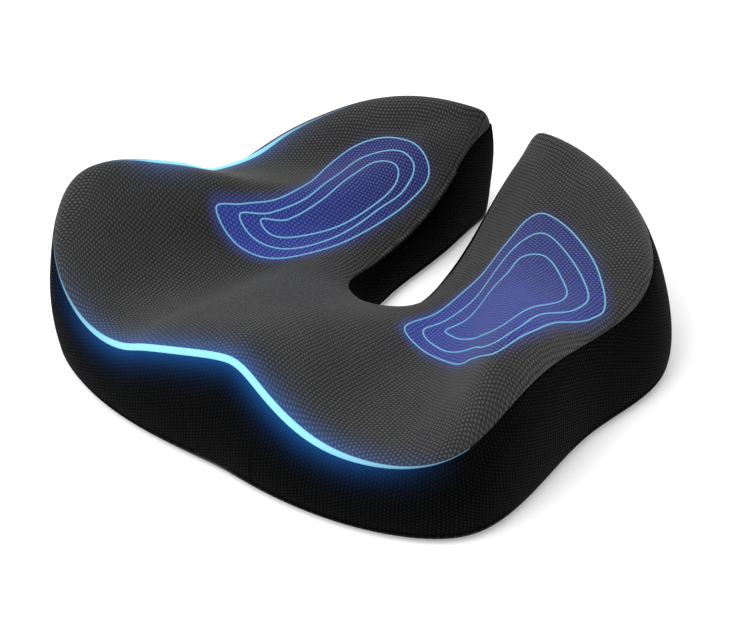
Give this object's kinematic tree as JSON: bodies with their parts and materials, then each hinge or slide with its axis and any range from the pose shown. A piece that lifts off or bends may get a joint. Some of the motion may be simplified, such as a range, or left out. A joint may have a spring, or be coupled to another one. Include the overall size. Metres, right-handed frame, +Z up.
{
  "type": "seat cushion",
  "caption": "Contoured foam seat cushion with a rear coccyx slot, thigh hollows and a zipped, sewn mesh cover.",
  "frame": {"origin": "on the flat underside, at the middle of the cushion's width and depth", "axes": "+X to the sitter's right, +Y to the back where the slot opens, +Z up"},
  "size_m": [0.45, 0.418, 0.124],
  "materials": {
    "foam": "open-cell memory foam, matte",
    "liner": "thin knitted polyester, matte",
    "mesh_fabric": "black honeycomb spacer mesh, matte with a soft sheen",
    "side_fabric": "black fine mesh fabric, matte",
    "grip_fabric": "black woven fabric with grip dots, matte",
    "zip_tape": "black woven tape",
    "zip_nylon": "black nylon, satin",
    "zip_metal": "gunmetal plated zinc, satin"
  },
  "bodies": {
    "cushion": {"foam_core": "foam", "inner_liner": "liner", "cover_top_panel": "mesh_fabric", "cover_side_band": "side_fabric", "cover_slot_band": "side_fabric", "bottom_panel_front": "grip_fabric", "bottom_panel_rear": "grip_fabric", "zip_placket_front": "side_fabric", "zip_placket_rear": "side_fabric", "zip_tape_front": "zip_tape", "zip_tape_rear": "zip_tape", "zip_teeth_front": "zip_nylon", "zip_teeth_rear": "zip_nylon", "zip_top_stop_front": "zip_metal", "zip_top_stop_rear": "zip_metal", "zip_bottom_stop": "zip_metal"},
    "slider": {"zip_slider": "zip_metal"},
    "pull": {"zip_pull": "zip_metal"}
  },
  "joints": [
    {"name": "zip_slide", "type": "slide", "parent": "cushion", "child": "slider", "axis": [-1, 0, 0], "range_m": [0, 0.235]},
    {"name": "pull_swing", "type": "hinge", "parent": "slider", "child": "pull", "pos_m": [0.1195, -0.095, 0.0021], "axis": [0, 1, 0], "range_deg": [0, 170]}
  ]
}
